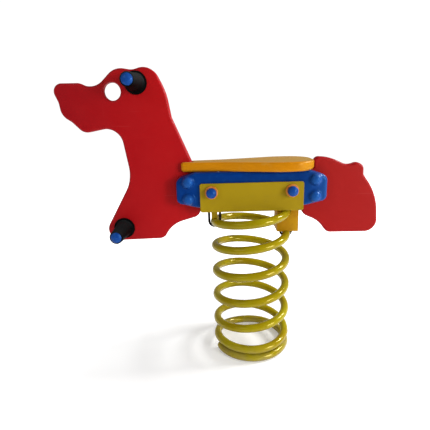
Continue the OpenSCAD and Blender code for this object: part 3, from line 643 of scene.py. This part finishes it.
SEAT_ORANGE, SEAT_LIGHT = (0.52, 0.185, 0.002), (0.60, 0.225, 0.003)
RUBBED_ORANGE, SHADED_REAR_ORANGE, SKY_REFLECTION_ORANGE = (0.60, 0.33, 0.06), (0.40, 0.20, 0.008), (0.470, 0.280, 0.052)

orange_board = finish_of("orange_board", {"Specular IOR Level": 0.25, "Specular Tint": (1.0, 0.72, 0.25, 1)})
spot = place(orange_board)
cloud = patches(orange_board, spot, 9, 4, 0.3, 0.7)
dye = blend_colours(orange_board, cloud, SEAT_ORANGE, SEAT_LIGHT)
rub = patches(orange_board, place(orange_board, (14, 160, 30)), 1, 3, 0.6, 0.75, 0, 0.4)
dye = blend_colours(orange_board, rub, dye, RUBBED_ORANGE)
# Painted shade: the orange darkens towards the rear end.
rear_light_and_shade = span(orange_board, axis_of(orange_board, spot, "X"), 0.10, 0.14, 0, 0.6)
dye = blend_colours(orange_board, rear_light_and_shade, dye, SHADED_REAR_ORANGE)
edge = read_value(orange_board, "worn")
# Painted reflection: the flats are blended towards a pale tan, the sky's reflection.
painted_sky_reflection = times(orange_board, span(orange_board, edge, 0, 1, 0.8, 0),
               patches(orange_board, spot, 20, 4, 0.2, 0.6, 0.8, 1.0))
onto_shader(orange_board, "Base Color", blend_colours(orange_board, painted_sky_reflection, dye, SKY_REFLECTION_ORANGE))
satin = patches(orange_board, spot, 36, 3, 0.3, 0.7, 0.34, 0.5)
polish = span(orange_board, edge, 0, 1, 1.0, 0.72)
onto_shader(orange_board, "Roughness", times(orange_board, satin, polish))
pebble = relief(orange_board, noise(orange_board, spot, 600), 0.0004, 0.18)
onto_shader(orange_board, "Normal", relief(orange_board, rub, -0.0001, 0.3, pebble))
seat.data.materials.append(orange_board)
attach(seat, "rider")
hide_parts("seat")


# Bracket bolt covers: an orange plastic ring under a blue cap that snaps over the head or the nut.
# They hide the two bolts that run right through the bracket, the shells and the panels.
BOLT_X, BOLT_Z = 94.5, 38.5
BRACKET_FACE = 48
RING_R, RING_T, RING_BORE, RING_EDGE = 15.5, 4, 5.25, 1.2
CAP_R, CAP_H, CAP_CROWN = 12, 15.4, 6.0
CAP_FOOT, CAP_SIDE, CAP_SOFT = 0.6, 0.8, 5
LATHE_SIDES = 64
NEAR_POLE = 89


def lathe(profile):
    """Profile [r, h], from the rim to the middle, turned round the axis of h: (r cos a, r sin a, h)."""
    a = np.linspace(0, 2 * np.pi, LATHE_SIDES, endpoint=False)
    r, h = np.array(profile, float).T
    points = np.stack([r[:, None] * np.cos(a), r[:, None] * np.sin(a), h[:, None] + 0 * a], -1)
    walls = grid_faces(len(r), LATHE_SIDES)[:, ::-1].tolist()
    first = np.arange(LATHE_SIDES)
    last = first + (len(r) - 1) * LATHE_SIDES
    return points.reshape(-1, 3), walls + [first[::-1].tolist(), last.tolist()]


def arc(x, h, radius, start, stop, steps):
    """Points of an arc, (x + radius cos k, h + radius sin k), with k in degrees from start to stop."""
    k = np.radians(np.linspace(start, stop, steps))
    return np.stack([x + radius * np.cos(k), h + radius * np.sin(k)], 1)


def ball_radius(foot, height):
    """Radius of the ball whose cap has this foot and height: (foot^2 + height^2) / (2 height)."""
    return (foot ** 2 + height ** 2) / (2 * height)


def set_out(points, faces, places):
    """Copies of a turned shape, each moved to x, y, z above the web and facing side -1 or 1, in metres."""
    copies, all_faces = [], []
    for number, (x, y, z, side) in enumerate(places):
        facing = np.column_stack([points[:, 0] * -side, points[:, 2] * side, points[:, 1]])
        copies.append(facing + [x, side * y, z])
        all_faces += (np.array([f for f in faces if len(f) == 4]) + number * len(points)).tolist()
        all_faces += [[i + number * len(points) for i in f] for f in faces if len(f) != 4]
    return np.vstack(copies) * MM + [0, 0, DECK], all_faces


ring_profile = np.vstack([
    [[RING_BORE, 0], [RING_R, 0]], arc(RING_R - RING_EDGE, RING_T - RING_EDGE, RING_EDGE, 0, 90, 5),
    [[RING_BORE, RING_T]]])
places = [(x, BRACKET_FACE, BOLT_Z, side) for x in (-BOLT_X, BOLT_X) for side in (-1, 1)]
cap_rings = mesh_object("cap_rings", *set_out(*lathe(ring_profile), places))

RING_ORANGE, RING_LIGHT = (0.58, 0.17, 0.012), (0.70, 0.25, 0.03)

orange_ring = finish_of("orange_ring", {"Specular IOR Level": 0.45})
spot = place(orange_ring)
cloud = patches(orange_ring, spot, 120, 4, 0.3, 0.7)
onto_shader(orange_ring, "Base Color", blend_colours(orange_ring, cloud, RING_ORANGE, RING_LIGHT))
onto_shader(orange_ring, "Roughness", span(orange_ring, cloud, 0, 1, 0.3, 0.45))
onto_shader(orange_ring, "Normal", relief(orange_ring, noise(orange_ring, spot, 700), 0.0003, 0.12))
cap_rings.data.materials.append(orange_ring)
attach(cap_rings, "rider")
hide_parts("cap_bases")

crown_r = ball_radius(CAP_R, CAP_CROWN)
crown_edge = math.degrees(math.asin((crown_r - CAP_CROWN) / crown_r))
cap_profile = np.vstack([
    [[CAP_R - CAP_FOOT, 0], [CAP_R, CAP_FOOT], [CAP_R, CAP_H - CAP_CROWN - CAP_SIDE]],
    arc(0, CAP_H - crown_r, crown_r, crown_edge + CAP_SOFT, NEAR_POLE, 14)])
places = [(x, BRACKET_FACE + RING_T, BOLT_Z, side) for x in (-BOLT_X, BOLT_X) for side in (-1, 1)]
caps = mesh_object("bolt_cap_covers", *set_out(*lathe(cap_profile), places), crease=60)

CAP_BLUE, CAP_LIGHT, CAP_GRAZE = (0.0050, 0.043, 0.23), (0.009, 0.064, 0.30), (0.07, 0.15, 0.36)

blue_cap = finish_of("blue_cap", {"Specular IOR Level": 0.3, "Specular Tint": (0.3, 0.65, 1.0, 1)})
spot = place(blue_cap)
cloud = patches(blue_cap, spot, 90, 4, 0.3, 0.7)
dye = blend_colours(blue_cap, cloud, CAP_BLUE, CAP_LIGHT)
graze = patches(blue_cap, place(blue_cap, (60, 60, 600)), 1, 2, 0.66, 0.76, 0, 0.4)
onto_shader(blue_cap, "Base Color", blend_colours(blue_cap, graze, dye, CAP_GRAZE))
onto_shader(blue_cap, "Roughness", span(blue_cap, cloud, 0, 1, 0.22, 0.36))
onto_shader(blue_cap, "Normal", relief(blue_cap, noise(blue_cap, spot, 640), 0.0003, 0.12))
caps.data.materials.append(blue_cap)
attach(caps, "rider")
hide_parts("bolt_caps")


# Bolt domes: round blue plastic covers over the four bolts that clamp the panels between the shells.
# Each runs out at its foot in a soft cove that follows the shell's rounded edge, and its crown is painted
# lighter, a painted light.
DOME_X = 149.5
DOME_HEIGHTS = (22.25, 62.25)
DOME_R, DOME_H, DOME_COVE = 14.0, 12.5, 6.0
DROP_HEIGHT = 7
DOME_LIFT = 0.05
LIT_CROWN_SHARE, LIT_RAMP_HEIGHT = 0.8, 9
SHELL_ARC_STEP = 15

ball_r = ball_radius(DOME_R, DOME_H)
ball_h = DOME_H - ball_r
cove_x = math.sqrt((ball_r + DOME_COVE) ** 2 - (DOME_COVE - ball_h) ** 2)
meet = math.degrees(math.atan2(DOME_COVE - ball_h, cove_x))
dome_profile = np.vstack([
    arc(cove_x, DOME_COVE, DOME_COVE, 270, 180 + meet, 10), arc(0, ball_h, ball_r, meet, NEAR_POLE, 18)[1:]])
places = [(x, SHELL_OUTER, z, side) for x in (-DOME_X, DOME_X) for z in DOME_HEIGHTS for side in (-1, 1)]
dome_points, dome_faces = set_out(*lathe(dome_profile), places)
above_shell = np.abs(dome_points[:, 1]) / MM - SHELL_OUTER


def laid_on_shell(points, height):
    """Foot of the domes let down onto the shell. At a depth d inside the outline the shell's edge lies
    r - sqrt(r^2 - (r - d)^2) below its face, and points past the outline are drawn back to it."""
    flat = points[:, [0, 2]] / MM - [0, DECK / MM]
    start = rounded(shell_corners, SHELL_ARC_STEP)
    run = np.roll(start, -1, 0) - start
    share = np.clip(((flat[:, None] - start) * run).sum(2) / (run ** 2).sum(1), 0, 1)
    gap = start + share[..., None] * run - flat[:, None]
    nearest = np.argmin((gap ** 2).sum(2), 1)
    gap = gap[np.arange(len(flat)), nearest]
    inside = -(run[nearest, 0] * gap[:, 1] - run[nearest, 1] * gap[:, 0]) > 0
    flat = np.where(inside[:, None], flat, flat + gap)
    depth = np.where(inside, np.linalg.norm(gap, axis=1), 0)
    rest = SHELL_EDGE - np.clip(depth, 0, SHELL_EDGE)
    drop = (SHELL_EDGE - np.sqrt(SHELL_EDGE ** 2 - rest ** 2)) * np.clip(1 - height / DROP_HEIGHT, 0, 1)
    out = np.sign(points[:, 1]) * (SHELL_OUTER + height - drop + DOME_LIFT)
    return np.column_stack([flat[:, 0], out, flat[:, 1]]) * MM + [0, 0, DECK]


domes = mesh_object("bolt_dome_covers", laid_on_shell(dome_points, above_shell), dome_faces, crease=80)
# The cover share rises from each dome's foot to its crown and paints light onto the crown.
point_values(domes, "cover", LIT_CROWN_SHARE * ease(above_shell / LIT_RAMP_HEIGHT))
domes.data.materials.append(blue_shell)
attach(domes, "rider")
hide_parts("bolt_domes")


# Grips: four tapered sleeves of black plastic with a flange against the panel, two for the hands at the
# head and two for the feet at the paw. A stud runs through each pair, and a blue cap plugs each tip. Their
# upper sides are painted lighter, a painted top light, and those at the paw less, a painted shade under the
# body.
GRIP_L, GRIP_BORE = 79, 6.25
FLANGE_R, ROOT_R, TIP_R = 26, 20, 15.5
FLANGE_T, FLANGE_EDGE, FLANGE_FOOT, FLANGE_COVE = 4, 1, 0.5, 5
TIP_ROUND, SOCKET_R, SOCKET_DEPTH = 2, 12.9, 3
TIP_CAP_R, TIP_CAP_H, TIP_CAP_SOFT = 12.64, 5.0, 3
HANDLE_X, HANDLE_Z, HANDLE_SHADE = -260, 290, 0.0
FOOT_X, FOOT_Z, FOOT_SHADE = -318, -54, 0.5
NO_TOP_LIGHT = -1.0

grip_profile = np.vstack([
    [[GRIP_BORE, 0], [FLANGE_R - FLANGE_FOOT, 0], [FLANGE_R, FLANGE_FOOT]],
    arc(FLANGE_R - FLANGE_EDGE, FLANGE_T - FLANGE_EDGE, FLANGE_EDGE, 0, 90, 5),
    arc(ROOT_R + FLANGE_COVE, FLANGE_T + FLANGE_COVE, FLANGE_COVE, 270, 180, 9),
    arc(TIP_R - TIP_ROUND, GRIP_L - TIP_ROUND, TIP_ROUND, 5, 90, 7),
    [[SOCKET_R, GRIP_L], [SOCKET_R, GRIP_L - SOCKET_DEPTH]]])

BLACK, SOFT_BLACK, TOP_LIGHT_GREY = (0.0018, 0.0021, 0.0022), (0.0045, 0.0050, 0.0052), (0.021, 0.025, 0.026)

black_grip = finish_of("black_grip", {"Specular IOR Level": 0.012})
spot = place(black_grip)
cloud = patches(black_grip, spot, 45, 4, 0.3, 0.75)
rubber = blend_colours(black_grip, cloud, BLACK, SOFT_BLACK)
# Painted highlight: the upper side of each sleeve is lightened, less where the body shades it.
painted_top_light = span(black_grip, read_value(black_grip, "upper"), -0.5, 0.9)
onto_shader(black_grip, "Base Color", blend_colours(black_grip, painted_top_light, rubber, TOP_LIGHT_GREY))
onto_shader(black_grip, "Roughness", span(black_grip, cloud, 0, 1, 0.38, 0.56))
onto_shader(black_grip, "Normal", relief(black_grip, noise(black_grip, spot, 480, 3), 0.0006, 0.35))

# Each point knows how high it lies on its sleeve, in root radii, less the painted shade that it stands in.
grip_places = {
    "handle_grip": (HANDLE_X, HANDLE_Z, HANDLE_SHADE),
    "foot_grip": (FOOT_X, FOOT_Z, FOOT_SHADE),
}
for name, (x, z, shade) in grip_places.items():
    for word, side in (("left", -1), ("right", 1)):
        points, faces = set_out(*lathe(grip_profile), [(x, BOARD_T / 2, z, side)])
        grip = mesh_object(f"{name}_{word}_sleeve", points, faces)
        upper = ((points[:, 2] - DECK) / MM - z) / ROOT_R - shade
        beyond_flange = np.abs(points[:, 1]) / MM > BOARD_T / 2 + FLANGE_T + FLANGE_EDGE
        point_values(grip, "upper", np.where(beyond_flange, upper, NO_TOP_LIGHT))
        grip.data.materials.append(black_grip)
        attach(grip, "rider")
        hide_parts(f"{name}_{word}")

tip_ball = ball_radius(TIP_CAP_R, TIP_CAP_H)
tip_edge = math.degrees(math.asin((tip_ball - TIP_CAP_H) / tip_ball))
tip_profile = np.vstack([
    [[TIP_CAP_R, -SOCKET_DEPTH], [TIP_CAP_R, 0]],
    arc(0, TIP_CAP_H - tip_ball, tip_ball, tip_edge + TIP_CAP_SOFT, NEAR_POLE, 14)])
places = [(x, BOARD_T / 2 + GRIP_L, z, side) for x, z, shade in grip_places.values() for side in (-1, 1)]
tip_caps = mesh_object("grip_tip_caps", *set_out(*lathe(tip_profile), places), crease=50)
tip_caps.data.materials.append(blue_cap)
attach(tip_caps, "rider")
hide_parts("grip_caps")


# Fasteners: zinc-plated steel bolts, studs, screws, nuts and washers, all behind covers or inside the
# shells. They keep the shapes of their solids.
ZINC, LIGHT_ZINC = (0.46, 0.46, 0.45), (0.62, 0.62, 0.63)

zinc = finish_of("zinc_plate", {"Metallic": 1.0})
spangle = patches(zinc, place(zinc), 140, 4, 0.3, 0.7)
onto_shader(zinc, "Base Color", blend_colours(zinc, spangle, ZINC, LIGHT_ZINC))
onto_shader(zinc, "Roughness", span(zinc, spangle, 0, 1, 0.28, 0.46))
onto_shader(zinc, "Normal", relief(zinc, noise(zinc, place(zinc, (300, 900, 300)), 1), 0.0003, 0.15))
for name in ("u_bolt_washers", "u_bolt_nuts", "seat_screws", "bracket_bolts", "bracket_nuts", "panel_bolts",
             "panel_washers", "panel_nuts", "handle_stud", "foot_stud", "grip_washers", "grip_nuts"):
    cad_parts[name].data.materials.clear()
    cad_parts[name].data.materials.append(zinc)


# Studio: a pale floor under a sky that is bright behind the rider and dim towards the viewer, both dimmer
# in reflections. The camera sees a white backdrop all round. A window lights from the right and the rear,
# a wide lamp stands low at the right front, and a weak one fills in from the left. Sizes are in metres.
FLOOR_R, FLOOR_DROP, FLOOR_SIDES = 3.0, 0.0006, 96
PAPER, LIGHT_PAPER, NEAR_PAPER = (0.84, 0.84, 0.84), (0.87, 0.87, 0.87), (0.5, 0.5, 0.5)
FLOOR_DIM, FLOOR_BRIGHT, FLOOR_MIRRORED = 0.25, 0.85, 0.15
SKY_DIM, SKY_BRIGHT, SKY_MIRRORED = 0.36, 1.05, 0.18

k = np.linspace(0, 2 * np.pi, FLOOR_SIDES, endpoint=False)
rim = np.stack([FLOOR_R * np.cos(k), FLOOR_R * np.sin(k), 0 * k - FLOOR_DROP], 1)
floor = mesh_object("floor", rim, [list(range(FLOOR_SIDES))])
pale = finish_of("pale_floor", {"Roughness": 0.9, "Specular IOR Level": 0.1, "Emission Color": (1, 1, 1, 1)})
spot = place(pale)
paper = blend_colours(pale, patches(pale, spot, 1.5, 3, 0.3, 0.7), PAPER, LIGHT_PAPER)
nearer = axis_of(pale, spot, "Y")
onto_shader(pale, "Base Color", blend_colours(pale, span(pale, nearer, -0.45, -1.1), paper, NEAR_PAPER))
# The floor glows: faintly near the rider, which lightens its shadow, a painted light, and more towards its
# rim.
outward = add(pale, "VectorMath", None, {0: spot}, operation="LENGTH").outputs["Value"]
rim_glow = times(pale, span(pale, outward, 0.30, 0.92), span(pale, nearer, -0.45, -0.1))
rim_glow = span(pale, rim_glow, 0, 1, FLOOR_DIM, FLOOR_BRIGHT)
mirrored = span(pale, add(pale, "LightPath").outputs["Is Glossy Ray"], 0, 1, 1.0, FLOOR_MIRRORED)
onto_shader(pale, "Emission Strength", times(pale, rim_glow, mirrored))
floor.data.materials.append(pale)

sky = bpy.data.worlds.new("sky")
bpy.context.scene.world = sky
sky.use_nodes = True
background = sky.node_tree.nodes["Background"]
background.inputs["Color"].default_value = (1.0, 1.0, 1.0, 1)
toward = add(sky, "TexCoord").outputs["Generated"]
rearward = span(sky, axis_of(sky, toward, "Y"), -0.25, 0.3)
overhead = span(sky, axis_of(sky, toward, "Z"), 0.35, 0.7, 1.0, 0.35)
glow = span(sky, times(sky, rearward, overhead), 0, 1, SKY_DIM, SKY_BRIGHT)
ray = add(sky, "LightPath").outputs
glow = times(sky, glow, span(sky, ray["Is Glossy Ray"], 0, 1, 1.0, SKY_MIRRORED))
backdrop = span(sky, ray["Is Camera Ray"], 0, 1, 0, SKY_BRIGHT)
sky.node_tree.links.new(combined(sky, "MAXIMUM", glow, backdrop), background.inputs["Strength"])

LIT_SPOT = Vector((-0.05, 0, 0.40))
for name, stand, power, size in (
        ("window", Vector((1.75, 0.35, 1.65)), 44, 0.6),
        ("fill", Vector((-1.5, -1.6, 1.8)), 7, 1.3),
        ("front", Vector((1.9, -1.75, 0.85)), 43, 0.9)):
    light = bpy.data.lights.new(name, "AREA")
    light.energy = power
    light.size = size
    lamp = bpy.data.objects.new(name, light)
    aim = (LIT_SPOT - stand).to_track_quat("-Z", "Y").to_matrix().to_4x4()
    lamp.matrix_world = Matrix.Translation(stand) @ aim
    bpy.context.scene.collection.objects.link(lamp)
bpy.context.scene.view_settings.view_transform = "Standard"


# Camera: stands where the photograph was taken from, on the rider's left. Its place, turn, tilt, roll and
# lens come from a fit to the edges of the boards, the bracket and the spring.
CAMERA_SPOT = Vector((-69, -857.3, 595.4)) * MM
YAW, PITCH, ROLL = (math.radians(angle) for angle in (-1.33, -15.23, -1.79))
FOCAL_PIXELS, IMAGE_PIXELS = 351.5, 430
SENSOR = 36.0
NEAR_CLIP = 0.01

ahead = Vector((math.sin(YAW) * math.cos(PITCH), math.cos(YAW) * math.cos(PITCH), math.sin(PITCH)))
across = Vector((math.cos(YAW), -math.sin(YAW), 0))
upward = across.cross(ahead)
right_hand = math.cos(ROLL) * across + math.sin(ROLL) * upward
top_side = math.cos(ROLL) * upward - math.sin(ROLL) * across
lens = bpy.data.cameras.new("camera")
lens.sensor_width = SENSOR
lens.lens = FOCAL_PIXELS / IMAGE_PIXELS * SENSOR
lens.clip_start = NEAR_CLIP
camera = bpy.data.objects.new("camera", lens)
looking = Matrix((right_hand, top_side, -ahead)).transposed().to_4x4()
camera.matrix_world = Matrix.Translation(CAMERA_SPOT) @ looking
bpy.context.scene.collection.objects.link(camera)
bpy.context.scene.camera = camera
